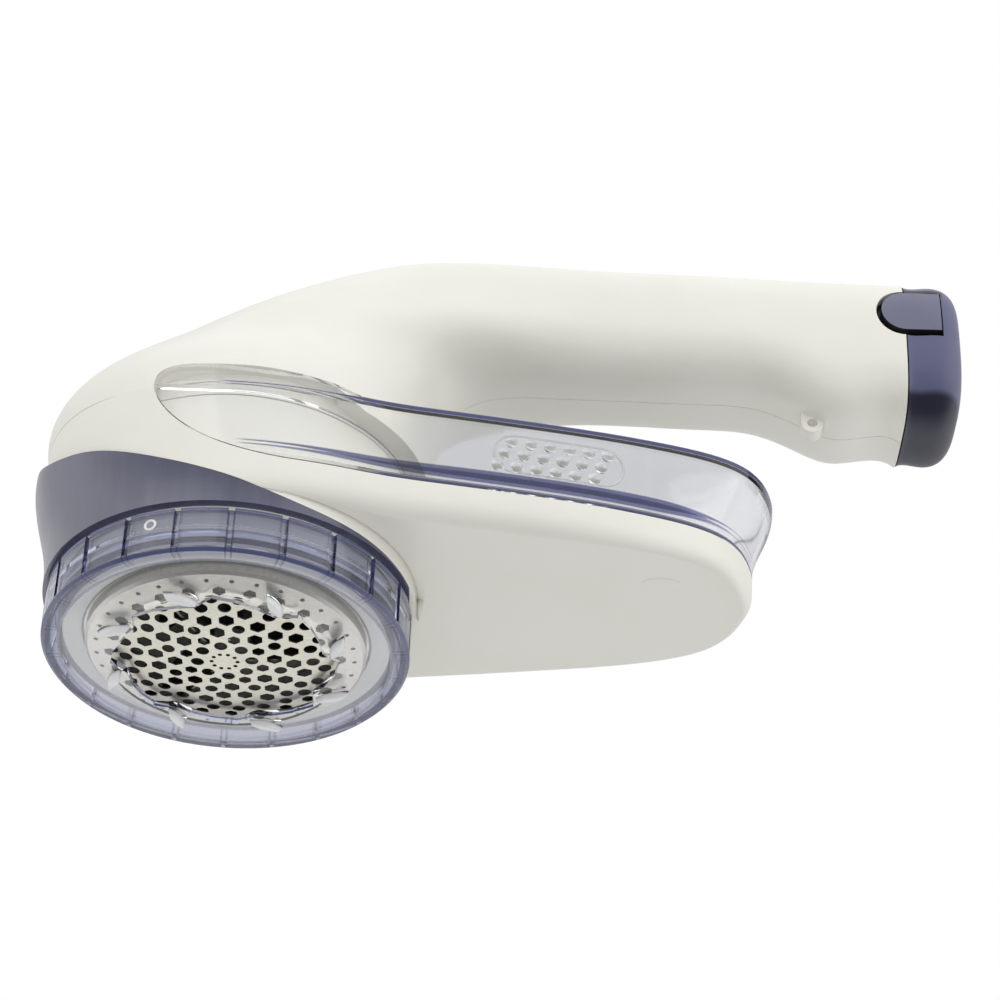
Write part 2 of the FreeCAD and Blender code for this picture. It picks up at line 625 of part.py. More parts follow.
def switch_slider():
    plate = block(-10.5, 5.5, -4.8, 4.8, -0.9, 0.8)
    ridge = cyl_y(0.7, -3.6, 3.6, 0, 0.8)
    ridges = [ridge.translated(V(-8.5 + 2.0 * k, 0, 0)) for k in range(7)]
    stem = block(-4.9, -1.1, -1.8, 1.8, -5.2, 0)
    return switch_frame(plate.fuse(ridges + [stem]))


def switch_body():
    body = block(-8, 8, -5.5, 5.5, -9, -3.4)
    return switch_frame(body.cut(block(-6.4, 6.4, -2.2, 2.2, -6.0, 0)))


def main():
    os.makedirs("parts", exist_ok=True)
    outer, inner = hull(), hull(2.2, 2.1)
    form = handle_form()
    room = handle_form(SKIN, 12.0)
    left, right = handle_shells(form, room)
    save("handle_shell_left", left)
    save("handle_shell_right", right)
    save("base_housing", base_housing(outer, inner))
    save("head_collar", head_collar())
    save("lint_container", lint_container(outer))
    save("guard_ring", guard_ring())
    save("foil_holder", foil_holder())
    save("shaving_foil", shaving_foil())
    save("battery_cap", battery_cap())
    save("cap_latch", cap_latch())
    save("cap_spring", coil(3.4, 0.4, 9.0, 4.0, V(124.2, 0, CELL_Z), V(1, 0, 0)))
    save("cap_contact", cyl_x(4.4, 133.6, 134.0, 0, CELL_Z))
    save("battery_cell_front", battery_cell(CELL_X))
    save("battery_cell_rear", battery_cell(CELL_X + CELL_LEN + 0.1))
    save("front_contact", cyl_x(5.0, CELL_X - 0.6, CELL_X - 0.1, 0, CELL_Z))
    save("contact_strip", block(28, 129.5, -2.0, 2.0, 88.3, 88.7))
    save("motor_mount", motor_mount())
    save("motor_can", motor_can())
    save("motor_magnets", motor_magnets())
    save("motor_end_bell", motor_end_bell())
    save("motor_terminals", Part.makeCompound(motor_terminals()))
    save("motor_armature", motor_armature())
    save("motor_shaft", cyl(SHAFT_R, 6.4, MOTOR_Z + MOTOR_LEN + 4.0))
    save("fan_impeller", fan_impeller())
    save("blade_carrier", blade_carrier())
    save("cutter_blades", Part.makeCompound(cutter_blades()))
    save("carrier_spring", coil(2.2, 0.3, 4.6, 3.0, V(0, 0, 15.4), V(0, 0, 1)))
    save("deck_screws", Part.makeCompound(deck_screws()))
    save("motor_screws", Part.makeCompound(motor_screws()))
    save("shell_screws", Part.makeCompound(shell_screws()))
    save("switch_slider", switch_slider())
    save("switch_body", switch_body())
    save("lead_positive", lead([V(6.6, 0, 70.0), V(9.0, 2, 71.0), V(15, 7.5, 73), V(22, 8, 75),
                                V(23.2, 5.0, 76.5)]))
    save("lead_negative", lead([V(-6.6, 0, 70), V(-8.5, -2.5, 70.8), V(-6, -8, 72.5), V(4, -10, 75),
                                V(14, -9.2, 79), V(21, -7, 84), V(25.4, -4, 87.3), V(28.5, -2.7, 87.9)]))


main()
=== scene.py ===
"""Looks of the fabric shaver: materials, small moulded detail, studio light and camera."""
import json
import math

import bmesh
import bpy
from mathutils import Matrix, Vector
from mathutils.bvhtree import BVHTree


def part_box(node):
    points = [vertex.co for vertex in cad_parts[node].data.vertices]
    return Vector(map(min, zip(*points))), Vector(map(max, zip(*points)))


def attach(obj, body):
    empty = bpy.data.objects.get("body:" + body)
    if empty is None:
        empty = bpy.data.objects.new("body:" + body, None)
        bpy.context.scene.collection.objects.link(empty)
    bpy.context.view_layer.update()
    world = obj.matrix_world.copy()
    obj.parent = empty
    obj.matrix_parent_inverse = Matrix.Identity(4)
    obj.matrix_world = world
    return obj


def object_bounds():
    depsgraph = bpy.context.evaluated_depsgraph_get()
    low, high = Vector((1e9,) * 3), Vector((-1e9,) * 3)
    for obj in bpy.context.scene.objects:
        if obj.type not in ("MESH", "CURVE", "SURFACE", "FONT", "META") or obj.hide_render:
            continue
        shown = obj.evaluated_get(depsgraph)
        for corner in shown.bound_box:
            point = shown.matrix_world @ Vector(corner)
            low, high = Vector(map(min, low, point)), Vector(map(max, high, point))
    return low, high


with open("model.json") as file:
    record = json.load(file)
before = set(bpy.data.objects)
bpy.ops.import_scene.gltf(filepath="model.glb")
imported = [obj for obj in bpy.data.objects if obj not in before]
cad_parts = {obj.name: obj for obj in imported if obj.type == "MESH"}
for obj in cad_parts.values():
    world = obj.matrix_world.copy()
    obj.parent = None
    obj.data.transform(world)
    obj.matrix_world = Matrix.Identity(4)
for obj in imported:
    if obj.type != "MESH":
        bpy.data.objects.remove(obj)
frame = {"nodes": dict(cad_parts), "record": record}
cad_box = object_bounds()
nodes = frame["nodes"]
scene = bpy.context.scene

# ---- colours, linear ------------------------------------------------------------------------
IVORY = (0.84, 0.83, 0.77)
IVORY_DEEP = (0.81, 0.80, 0.72)
SLATE = (0.070, 0.074, 0.128)
SLATE_DEEP = (0.050, 0.053, 0.098)
# Navy painted shade for clear plastic: the band along the container's foot, the guard's grooves and
# the edges where the plastic seen edge on looks dark.
NAVY_SHADE = (0.035, 0.040, 0.15)
NAVY_EDGE_SHADE = (0.050, 0.056, 0.16)
BLUE_WALL = (0.44, 0.47, 0.62)
CLEAR = (0.90, 0.905, 0.925)
PASSING = (0.965, 0.967, 0.975)
CLEAR_ARM = (0.985, 0.987, 0.985)
CLEAR_BLUE = (0.95, 0.955, 0.98)
PALE = (0.60, 0.60, 0.585)
FOIL = (0.49, 0.475, 0.42)
STEEL = (0.55, 0.55, 0.53)
DARK_STEEL = (0.13, 0.13, 0.11)
BLACK = (0.016, 0.016, 0.017)
BRASS = (0.62, 0.46, 0.18)

# ---- places where a finish or painted shade changes, in metres ------------------------------
LATCH_Z = 0.082                     # height of the latch's middle
LATCH_SHADE_HALF = 0.0066            # half-height of the painted shade under and round the latch
LATCH_SHADE_Y = (-0.0134, -0.0130)   # the painted shade begins behind the cap's outer skin
LATCH_SHADE_END_X = 0.1390           # and stops just past the rear of the latch's recess
CAP_SHADE_LINE_Z = 0.0630               # painted shade: the battery cap is darker below this height
HOLDER_BORE_SHADE_R = 0.0274         # painted shade: the foil holder is dark inside this radius
HOLDER_RIM_SHADE_R = 0.0311          # and outside this one, but only near its face
HOLDER_SHADE_Z = 0.0072              # where that outer painted line ends
RIM_INNER_R = 0.0317                # inner edge of the guard's flat rim
RIM_OUTER_R = 0.0343                # where its outer bevel begins
RIM_SHADE_Z = 0.0034                 # the painted shade lines along both edges fade out above this height
GUARD_DEPTH_R = (0.0305, 0.0340)    # the guard's blue deepens outwards over these radii
GROOVES, GROOVE_PHASE = 22, 12.0    # grooves round the guard, first one's angle in degrees
GUARD_TOP_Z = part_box("guard_ring")[1].z
ARMS_X = (0.038, 0.030)             # the container's arms begin here and look clearer
ROOF_EDGE_Z = 0.0401                # middle of the container roof's thickness
FOOT_SHADE_Z = 0.0269                # middle of the painted shade band along the container's foot
FOOT_SHADE_WIDENS_X = (0.0015, 0.050)
FOOT_SHADE_FADES_X = (0.098, 0.079)  # nothing is left of it at the first, all at the second
LIP_Z = 0.0244                      # the container's lower lip lies below this height

ROUND_HEAD = (260, 260, 6)          # noise scale that gives streaks up and down the head


# ---- material helpers -----------------------------------------------------------------------
def new_node(tree, kind, links, values):
    """Adds a node: values are its settings or its sockets by name, links are sources by socket."""
    node = tree.nodes.new(kind)
    for key, value in values.items():
        if hasattr(node, key):
            setattr(node, key, value)
        else:
            node.inputs[key.replace("_", " ")].default_value = value
    for socket, source in (links or {}).items():
        tree.links.new(source, node.inputs[socket])
    return node


class Nodes:
    """A material's node tree, with short ways to add and join nodes."""

    def __init__(self, name):
        self.material = bpy.data.materials.new(name)
        self.material.use_nodes = True
        self.tree = self.material.node_tree
        self.tree.nodes.clear()
        self.out = self.add("ShaderNodeOutputMaterial")

    def add(self, kind, links=None, **values):
        return new_node(self.tree, kind, links, values)

    def coordinates(self, scale=(1, 1, 1)):
        place = self.add("ShaderNodeTexCoord").outputs["Object"]
        return self.add("ShaderNodeMapping", {"Vector": place}, Scale=scale).outputs["Vector"]

    def noise(self, vector, scale, detail=3.0, roughness=0.55):
        return self.add("ShaderNodeTexNoise", {"Vector": vector}, Scale=scale, Detail=detail,
                        Roughness=roughness).outputs["Fac"]

    def ramp(self, value, low, high, start, end):
        ramp = self.add("ShaderNodeValToRGB", {"Fac": value})
        for stop, place, colour in zip(ramp.color_ramp.elements, (start, end), (low, high)):
            stop.position, stop.color = place, (*colour, 1.0)
        return ramp.outputs["Color"]

    def spread(self, value, low, high):
        return self.add("ShaderNodeMapRange", {"Value": value}, To_Min=low,
                        To_Max=high).outputs["Result"]

    def math(self, operation, first, second=None):
        node = self.add("ShaderNodeMath", operation=operation)
        for socket, value in zip(node.inputs, (first, second)):
            if isinstance(value, (int, float)):
                socket.default_value = value
            elif value is not None:
                self.tree.links.new(value, socket)
        return node.outputs[0]

    def step(self, value, start, end):
        """Smooth step from 0 at start to 1 at end; start may be the larger."""
        low, high = min(start, end), max(start, end)
        rise = (0.0, 1.0) if start < end else (1.0, 0.0)
        return self.add("ShaderNodeMapRange", {"Value": value}, interpolation_type="SMOOTHSTEP",
                        From_Min=low, From_Max=high, To_Min=rise[0],
                        To_Max=rise[1]).outputs["Result"]

    def mixed(self, factor, colour, other):
        mix = self.add("ShaderNodeMix", {"Factor": factor}, data_type="RGBA")
        ends = [i for i in mix.inputs if i.type == "RGBA"]
        self.tree.links.new(colour, ends[0])
        ends[1].default_value = (*other, 1.0)
        return next(o for o in mix.outputs if o.type == "RGBA")

    def bump(self, height, strength, distance, normal=None):
        links = {"Height": height}
        if normal is not None:
            links["Normal"] = normal
        return self.add("ShaderNodeBump", links, Strength=strength,
                        Distance=distance).outputs["Normal"]

    def finish(self, shader):
        self.tree.links.new(shader, self.out.inputs["Surface"])
        return self.material


def moulded(name, colour, deep, roughness, grain=0.12, grain_scale=2600, coat=0.0, streaks=None,
            regions=(), gleam=0.5):
    """Injection-moulded plastic: faint flow marks, a fine mould grain, uneven gloss."""
    m = Nodes(name)
    at = m.coordinates()
    flow = m.noise(m.coordinates(streaks or (1, 1, 1)), 38 if streaks is None else 1.0, 4)
    tone = m.ramp(flow, deep, colour, 0.30, 0.62)
    for region, other in regions:
        tone = m.mixed(region(m), tone, other)
    gloss = m.spread(m.noise(at, 160), roughness - 0.05, roughness + 0.06)
    fine = m.bump(m.noise(at, grain_scale, 2), grain, 0.00004)
    broad = m.bump(m.noise(at, 55, 2), 0.10, 0.0006, fine)
    shader = m.add("ShaderNodeBsdfPrincipled",
                   {"Base Color": tone, "Roughness": gloss, "Normal": broad},
                   IOR=1.5, Coat_Weight=coat, Coat_Roughness=0.12, Specular_IOR_Level=gleam)
    return m.finish(shader.outputs["BSDF"])


def clear(name, tint, edge, regions, edge_shade, roughness=0.03):
    """Clear plastic. Its tint gathers where a wall is seen edge on, and changes by region.

    Where the shade mask given is 1, the plastic lets nothing through and is painted navy as shade.
    """
    m = Nodes(name)
    at = m.coordinates()
    facing = m.add("ShaderNodeLayerWeight", Blend=0.35).outputs["Facing"]
    cloud = m.noise(at, 90, 3)
    shade = m.add("ShaderNodeMath", {0: facing, 1: m.spread(cloud, -0.05, 0.05)},
                  operation="ADD").outputs[0]
    tone = m.ramp(shade, tint, edge, 0.45, 0.97)
    for region, deep in regions:
        tone = m.mixed(region(m), tone, deep)
    opaque_shade = edge_shade(m)
    tone = m.mixed(opaque_shade, tone, NAVY_EDGE_SHADE)
    gloss = m.spread(m.noise(at, 240), roughness, roughness + 0.05)
    ripple = m.bump(m.noise(at, 70, 2), 0.10, 0.0004)
    shader = m.add("ShaderNodeBsdfPrincipled",
                   {"Base Color": tone, "Roughness": gloss, "Normal": ripple,
                    "Transmission Weight": m.math("SUBTRACT", 1.0, opaque_shade)}, IOR=1.46)
    rays = m.add("ShaderNodeLightPath").outputs
    lamp = m.add("ShaderNodeMath", {0: rays["Is Shadow Ray"], 1: rays["Is Diffuse Ray"]},
                 operation="MAXIMUM").outputs[0]
    passing = m.add("ShaderNodeBsdfTransparent", Color=(*PASSING, 1.0))
    return m.finish(m.add("ShaderNodeMixShader", {"Fac": lamp, 1: shader.outputs["BSDF"],
                                                  2: passing.outputs[0]}).outputs[0])


def latch_recess_shade(m):
    """Painted shade: 1 on the floor of the recess under and round the cap's latch, drawn black."""
    axis = m.add("ShaderNodeSeparateXYZ", {"Vector": m.coordinates()}).outputs
    off = m.math("ABSOLUTE", m.math("SUBTRACT", axis["Z"], LATCH_Z))
    under = m.math("MULTIPLY", m.step(off, LATCH_SHADE_HALF + 0.0002, LATCH_SHADE_HALF),
                   m.step(axis["Y"], *LATCH_SHADE_Y))
    return m.math("MULTIPLY", m.math("MULTIPLY", under, m.step(axis["Y"], -0.0080, -0.0090)),
                  m.step(axis["X"], LATCH_SHADE_END_X + 0.0002, LATCH_SHADE_END_X - 0.0002))


def latch_side_shade(m):
    """Painted shade: 1 on the narrow sides of the latch, which stand in its gap and are drawn
    black.
    """
    facing = m.add("ShaderNodeTexCoord").outputs["Normal"]
    outward = m.add("ShaderNodeSeparateXYZ", {"Vector": facing}).outputs["Y"]
    return m.step(m.math("ABSOLUTE", outward), 0.45, 0.30)


def cap_lower_shade(m):
    """Painted shade: 1 on the lower half of the battery cap, standing in for a darker reflection
    below a line along its side.
    """
    height = m.add("ShaderNodeSeparateXYZ", {"Vector": m.coordinates()}).outputs["Z"]
    return m.step(height, CAP_SHADE_LINE_Z + 0.0008, CAP_SHADE_LINE_Z - 0.0008)


def axis_distance(m):
    """Distance from the head's axis."""
    flat = m.add("ShaderNodeVectorMath", {0: m.coordinates()}, operation="MULTIPLY")
    flat.inputs[1].default_value = (1, 1, 0)
    return m.add("ShaderNodeVectorMath", {0: flat.outputs[0]}, operation="LENGTH").outputs["Value"]


def holder_edge_shade(m):
    """Painted shade: 1 at the foil holder's inner and outer edges, in the gaps beside the foil and
    the guard.
    """
    radius = axis_distance(m)
    height = m.add("ShaderNodeSeparateXYZ", {"Vector": m.coordinates()}).outputs["Z"]
    outer = m.math("MULTIPLY",
                   m.step(radius, HOLDER_RIM_SHADE_R - 0.0002, HOLDER_RIM_SHADE_R + 0.0001),
                   m.step(height, HOLDER_SHADE_Z + 0.0002, HOLDER_SHADE_Z - 0.0002))
    inner = m.step(radius, HOLDER_BORE_SHADE_R + 0.0002, HOLDER_BORE_SHADE_R - 0.0001)
    return m.math("MAXIMUM", inner, outer)


def guard_depth(m):
    """1 in the guard's upright rim, 0 in its thin face."""
    return m.step(axis_distance(m), *GUARD_DEPTH_R)


def guard_groove_shade(m):
    """Painted shade: near 1 in the walls of the grooves cut round the guard's rim, drawn navy."""
    axis = m.add("ShaderNodeSeparateXYZ", {"Vector": m.coordinates()}).outputs
    turn = m.math("ARCTAN2", axis["Y"], axis["X"])
    turn = m.math("SUBTRACT", m.math("MULTIPLY", turn, GROOVES / (2 * math.pi)),
                  GROOVE_PHASE * GROOVES / 360.0)
    off = m.math("ABSOLUTE", m.math("SUBTRACT", turn, m.math("ROUND", turn)))
    line = m.math("MULTIPLY", m.step(off, 0.085, 0.060), m.step(off, 0.030, 0.050))
    return m.math("MULTIPLY", m.math("MULTIPLY", line, guard_depth(m)), 0.85)


def guard_rim_shade(m):
    """Painted shade: near 1 along the edges of the guard's rim and its top, where the clear plastic
    seen edge on looks darkest; drawn opaque navy.
    """
    radius = axis_distance(m)
    height = m.add("ShaderNodeSeparateXYZ", {"Vector": m.coordinates()}).outputs["Z"]
    outer = m.math("MULTIPLY", m.step(radius, RIM_OUTER_R - 0.0002, RIM_OUTER_R + 0.0001),
                   m.step(height, RIM_SHADE_Z + 0.0005, RIM_SHADE_Z))
    off = m.math("ABSOLUTE", m.math("SUBTRACT", radius, RIM_INNER_R))
    inner = m.math("MULTIPLY", m.step(off, 0.0004, 0.0002),
                   m.step(height, RIM_SHADE_Z + 0.0002, RIM_SHADE_Z - 0.0002))
    top = m.math("MULTIPLY", m.step(height, GUARD_TOP_Z - 0.0007, GUARD_TOP_Z - 0.0003),
                 guard_depth(m))
    edges = m.math("MAXIMUM", m.math("MAXIMUM", outer, m.math("MULTIPLY", inner, 0.7)), top)
    return m.math("MULTIPLY", edges, 0.9)


def container_arms(m):
    """1 in the arms that reach forward over the round chamber."""
    along = m.add("ShaderNodeSeparateXYZ", {"Vector": m.coordinates()}).outputs["X"]
    return m.step(along, *ARMS_X)


def container_rim_shade(m):
    """Painted shade: 1 on the side walls at the roof's edge, fine across the arms, and at the lower
    lip, drawn opaque navy.
    """
    axis = m.add("ShaderNodeSeparateXYZ", {"Vector": m.coordinates()}).outputs
    facing = m.add("ShaderNodeTexCoord").outputs["Normal"]
    upward = m.add("ShaderNodeSeparateXYZ", {"Vector": facing}).outputs["Z"]
    off = m.math("ABSOLUTE", m.math("SUBTRACT", axis["Z"], ROOF_EDGE_Z))
    half = m.math("ADD", m.math("MULTIPLY", m.step(axis["X"], 0.016, 0.030), 0.00035), 0.0001)
    roof = m.math("MULTIPLY", m.step(m.math("SUBTRACT", off, half), 0.0002, -0.0001),
                  m.step(axis["X"], -0.0045, 0.0005))
    lip = m.math("MULTIPLY", m.step(axis["Z"], LIP_Z + 0.0002, LIP_Z - 0.0002),
                 m.step(axis["X"], 0.022, 0.030))
    return m.math("MULTIPLY", m.math("MAXIMUM", roof, lip),
                  m.step(m.math("ABSOLUTE", upward), 0.50, 0.35))


def container_foot_shade(m):
    """Painted shade: 1 in the band along the container's foot, which starts fine and widens to the
    rear.
    """
    axis = m.add("ShaderNodeSeparateXYZ", {"Vector": m.coordinates()}).outputs
    grow = m.step(axis["X"], *FOOT_SHADE_WIDENS_X)
    fade = m.step(axis["X"], *FOOT_SHADE_FADES_X)
    off = m.math("ABSOLUTE", m.math("SUBTRACT", axis["Z"], FOOT_SHADE_Z))
    half = m.math("MULTIPLY", m.math("ADD", m.math("MULTIPLY", grow, 0.0009), 0.0001), fade)
    return m.math("MULTIPLY", m.step(m.math("SUBTRACT", off, half), 0.0002, -0.0001),
                  m.step(axis["X"], 0.0010, 0.0040))


def metal(name, colour, deep, roughness, brush=(1, 1, 1), scale=900, anisotropic=0.0):
    """Metal with brush marks or a rolled grain in colour, gloss and relief."""
    m = Nodes(name)
    at = m.coordinates()
    lines = m.noise(m.coordinates(brush), scale, 4)
    tone = m.ramp(lines, deep, colour, 0.25, 0.65)
    gloss = m.spread(m.noise(at, 420), roughness - 0.06, roughness + 0.08)
    relief = m.bump(lines, 0.14, 0.00003)
    shader = m.add("ShaderNodeBsdfPrincipled",
                   {"Base Color": tone, "Roughness": gloss, "Normal": relief},
                   Metallic=1.0, Anisotropic=anisotropic)
    return m.finish(shader.outputs["BSDF"])


finishes = {
    "ivory_plastic": moulded("ivory_abs", IVORY, IVORY_DEEP, 0.36, coat=0.08),
    "slate_plastic": moulded("slate_abs", SLATE, SLATE_DEEP, 0.30, streaks=ROUND_HEAD, coat=0.45),
    "clear_plastic": clear("clear_wall", CLEAR, (0.70, 0.72, 0.83),
                           [(container_arms, CLEAR_ARM), (container_foot_shade, NAVY_SHADE)],
                           container_rim_shade),
    "clear_guard": clear("clear_blue_wall", CLEAR_BLUE, (0.30, 0.33, 0.55),
                         [(guard_depth, BLUE_WALL), (guard_groove_shade, NAVY_SHADE)], guard_rim_shade),
    # The foil holder's edges are painted near-black as shade in the gaps beside the foil and the
    # guard.
    "pale_plastic": moulded("pale_abs", PALE, (0.53, 0.53, 0.51), 0.32,
                            regions=[(holder_edge_shade, (0.055, 0.057, 0.085))]),
    "foil_steel": metal("foil", FOIL, (0.37, 0.36, 0.31), 0.34, brush=(1, 6, 1), anisotropic=0.3),
    "blade_steel": metal("blades", DARK_STEEL, (0.07, 0.07, 0.06), 0.4),
    "spring_steel": metal("drawn_wire", STEEL, (0.4, 0.4, 0.4), 0.3),
    "screw_steel": metal("zinc_plate", STEEL, (0.42, 0.42, 0.38), 0.35),
    "zinc_steel": metal("drawn_can", (0.6, 0.61, 0.62), (0.5, 0.5, 0.52), 0.3, brush=(1, 1, 12)),
    "laminated_steel": metal("laminations", (0.35, 0.35, 0.36), (0.2, 0.2, 0.2), 0.45,
                             brush=(1, 1, 30)),
    "ferrite": moulded("ferrite", (0.07, 0.07, 0.07), (0.04, 0.04, 0.04), 0.7, grain=0.3),
    "dark_plastic": moulded("black_nylon", BLACK, (0.010, 0.010, 0.011), 0.42),
    "brass_contact": metal("plated_contact", BRASS, (0.5, 0.36, 0.13), 0.3),
    "cell_wrap": moulded("cell_jacket", (0.045, 0.06, 0.075), (0.03, 0.04, 0.05), 0.25),
    "red_insulation": moulded("red_insulation", (0.45, 0.03, 0.02), (0.35, 0.02, 0.02), 0.45),
    "black_insulation": moulded("black_insulation", (0.02, 0.02, 0.02), (0.012, 0.012, 0.012),
                                0.45),
}
for part in frame["record"]["subparts"]:
    mesh = nodes[part["node"]].data
    mesh.materials.clear()
    mesh.materials.append(finishes[part["material_slot"]])
# The battery cap's lighter slate is painted light on its lit upper side; near-black on its lower
# half is painted shade and reflection, and black round the latch is painted shade in its recess.
nodes["battery_cap"].data.materials[0] = moulded(
    "slate_cap", (0.125, 0.131, 0.225), (0.105, 0.110, 0.195), 0.34, gleam=0.28,
    regions=[(cap_lower_shade, (0.020, 0.021, 0.040)), (latch_recess_shade, BLACK)])
# The latch's narrow sides are painted black as shade in its gap.
nodes["cap_latch"].data.materials[0] = moulded("slate_latch", (0.165, 0.17, 0.25),
                                               (0.125, 0.13, 0.20), 0.45, grain=0.2,
                                               regions=[(latch_side_shade, BLACK)])


# ---- small moulded detail ----------------------------------------------------------------------
def piece(name, verts, faces, body, slot, material=None):
    """A closed mesh that rides on a body and takes a slot's finish."""
    mesh = bpy.data.meshes.new(name)
    mesh.from_pydata([tuple(v) for v in verts], [], faces)
    bm = bmesh.new()
    bm.from_mesh(mesh)
    bmesh.ops.recalc_face_normals(bm, faces=bm.faces)
    bm.to_mesh(mesh)
    bm.free()
    mesh.polygons.foreach_set("use_smooth", [True] * len(mesh.polygons))
    mesh.materials.append(material or finishes[slot])
    made = bpy.data.objects.new(name, mesh)
    scene.collection.objects.link(made)
    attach(made, body)
    return made


def bridged(rings, closed=False):
    """Faces that join equal rings of points in order; capped at both ends unless closed."""
    n = len(rings[0])
    verts = [p for ring in rings for p in ring]
    faces = []
    for k in range(len(rings) if closed else len(rings) - 1):
        a, b = k * n, (k + 1) % len(rings) * n
        faces += [(a + i, a + (i + 1) % n, b + (i + 1) % n, b + i) for i in range(n)]
    if not closed:
        faces += [tuple(range(n)), tuple(range(len(verts) - n, len(verts)))]
    return verts, faces


def surface_of(node):
    """Function that drops a point onto a node's surface: (place, normal)."""
    tree = BVHTree.FromObject(nodes[node], bpy.context.evaluated_depsgraph_get())

    def drop(point, direction):
        place, normal, _, _ = tree.ray_cast(Vector(point), Vector(direction))
        return place, normal if normal.dot(Vector(direction)) < 0 else -normal
    return drop


def turned(point, angle):
    return Matrix.Rotation(angle, 3, "Z") @ Vector(point)


def angles(count):
    """Angles of points spaced evenly round a circle."""
    return [2 * math.pi * i / count for i in range(count)]


def oval(count, x, y, z, half_x, half_y):
    """Ring of points at one height."""
    return [Vector((x + half_x * math.cos(t), y + half_y * math.sin(t), z)) for t in angles(count)]


def nub_frosting():
    """Whitish rounded skins over the lens-shaped glide nubs on the guard's inner edge."""
    count, circle, first, skew = 8, 0.0226, math.radians(27.2), math.radians(-50)
    ball, offset, skin, middle = 0.006, 0.0048, 0.00006, 0.0022
    levels = [(-0.0022 - skin, 0.86), (-0.00215, 0.97), (-0.0019, 1.0), (-0.0015, 1.0),
              (-0.0011, 1.0)]
    verts, faces = [], []
    for k in range(count):
        rings = []
        for z, shrink in levels:
            reach = math.sqrt(ball ** 2 - offset ** 2 - z ** 2)
            ring = []
            for t in angles(28):
                x = reach * math.cos(t)
                y = math.sqrt(ball ** 2 - x ** 2 - z ** 2) - offset + skin
                y = math.copysign(y, math.sin(t)) if abs(math.sin(t)) > 1e-6 else 0.0
                place = turned((x * shrink, y * shrink, z + middle), skew)
                place += Vector((circle, 0, 0))
                ring.append(turned(place, first + 2 * math.pi * k / count))
            rings.append(ring)
        more, joined = bridged(rings)
        faces += [tuple(i + len(verts) for i in f) for f in joined]
        verts += more
    m = Nodes("frosted_nub")
    cloud = m.noise(m.coordinates(), 500, 2)
    tone = m.ramp(cloud, (0.88, 0.89, 0.91), (0.98, 0.98, 0.98), 0.3, 0.7)
    shader = m.add("ShaderNodeBsdfPrincipled", {"Base Color": tone,
                   "Roughness": m.spread(cloud, 0.10, 0.25)}, IOR=1.46, Transmission_Weight=0.12)
    piece("nub_frosting", verts, faces, "guard", "clear_guard", m.finish(shader.outputs["BSDF"]))


def ring_mark():
    """Small raised circle on one panel of the guard, which shows where it locks."""
    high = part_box("guard_ring")[1]
    angle, height, major, minor = math.radians(-21 - 90), high.z - 0.0029, 0.0010, 0.00026
    sink = 0.0001
    out = Vector((math.cos(angle), math.sin(angle), 0))
    side, upward = Vector((-out.y, out.x, 0)), Vector((0, 0, 1))
    base = out * high.x + upward * height
    rings = []
    for t in angles(24):
        spoke = side * math.cos(t) + upward * math.sin(t)
        rings.append([base + spoke * (major + minor * math.cos(u)) + out * minor * math.sin(u)
                      - out * sink for u in angles(8)])
    piece("ring_mark", *bridged(rings, closed=True), "guard", "clear_guard",
          bpy.data.materials["frosted_nub"])


def index_rib():
    """Small rounded rib under the base, just behind the guard, that the lock mark lines up with."""
    x, half_x, half_y = 0.0364, 0.0006, 0.0007
    profile = [(0.0170, 1.0), (0.0145, 1.0), (0.0130, 0.95), (0.0124, 0.7), (0.0122, 0.35)]
    rings = [oval(20, x, 0.0, z, half_x * grow, half_y * grow) for z, grow in profile]
    piece("index_rib", *bridged(rings), "body", "ivory_plastic")


def gate_mark():
    """Faint raised oval on the flat underside of the base, left by the mould."""
    x, y, underside = 0.0823, -0.0090, 0.0168
    half_x, half_y = 0.0038, 0.0019
    profile = [(-0.0002, 1.0), (0.0, 1.0), (0.00008, 0.95), (0.00013, 0.80), (0.00014, 0.4)]
    rings = [oval(32, x, y, underside - drop, half_x * grow, half_y * grow)
             for drop, grow in profile]
    piece("gate_mark", *bridged(rings), "body", "ivory_plastic")


def grip_border():
    """Fine raised line round each patch of grip dots, with rounded ends."""
    x0, x1, low_z, high_z = 0.0496, 0.0742, 0.0284, 0.0367
    radius, middle = (high_z - low_z) / 2, (low_z + high_z) / 2
    half_width, raised = 0.00022, 0.00005
    outline = [(x1 - radius + radius * math.cos(t), middle + radius * math.sin(t))
               for t in (math.radians(a) for a in range(-90, 91, 9))]
    outline += [(x0 + radius + radius * math.cos(t), middle + radius * math.sin(t))
                for t in (math.radians(a) for a in range(90, 271, 9))]
    drop = surface_of("lint_container")
    for side, label in ((-1, "left"), (1, "right")):
        rings = []
        for k, (x, z) in enumerate(outline):
            place, normal = drop((x, side * 0.06, z), (0, -side, 0))
            before, after = outline[k - 1], outline[(k + 1) % len(outline)]
            along = Vector((after[0] - before[0], 0, after[1] - before[1])).normalized()
            across = along.cross(normal).normalized()
            rings.append([place + across * half_width * math.cos(t)
                          + normal * raised * math.sin(t) for t in angles(8)])
        piece(f"grip_border_{label}", *bridged(rings, closed=True), "container", "clear_plastic")


nub_frosting()
ring_mark()
index_rib()
gate_mark()
grip_border()


# ---- studio ----------------------------------------------------------------------------------
WORLD_LOW, WORLD_HIGH = 0.64, 0.94  # strength of the surroundings' light, below and above
MIRROR_FROM, MIRROR_TO = -1.0, 1.4  # directions from below the front to above the back
MIRROR_PEAK = 1.8                   # strength that a grey of 1 has in gloss
# (direction, grey) of what gloss mirrors: dim below the front, bright ahead, softer behind
MIRROR = [(-0.90, 0.10), (-0.30, 0.70), (0.20, 1.0), (0.80, 0.55), (1.40, 0.38)]


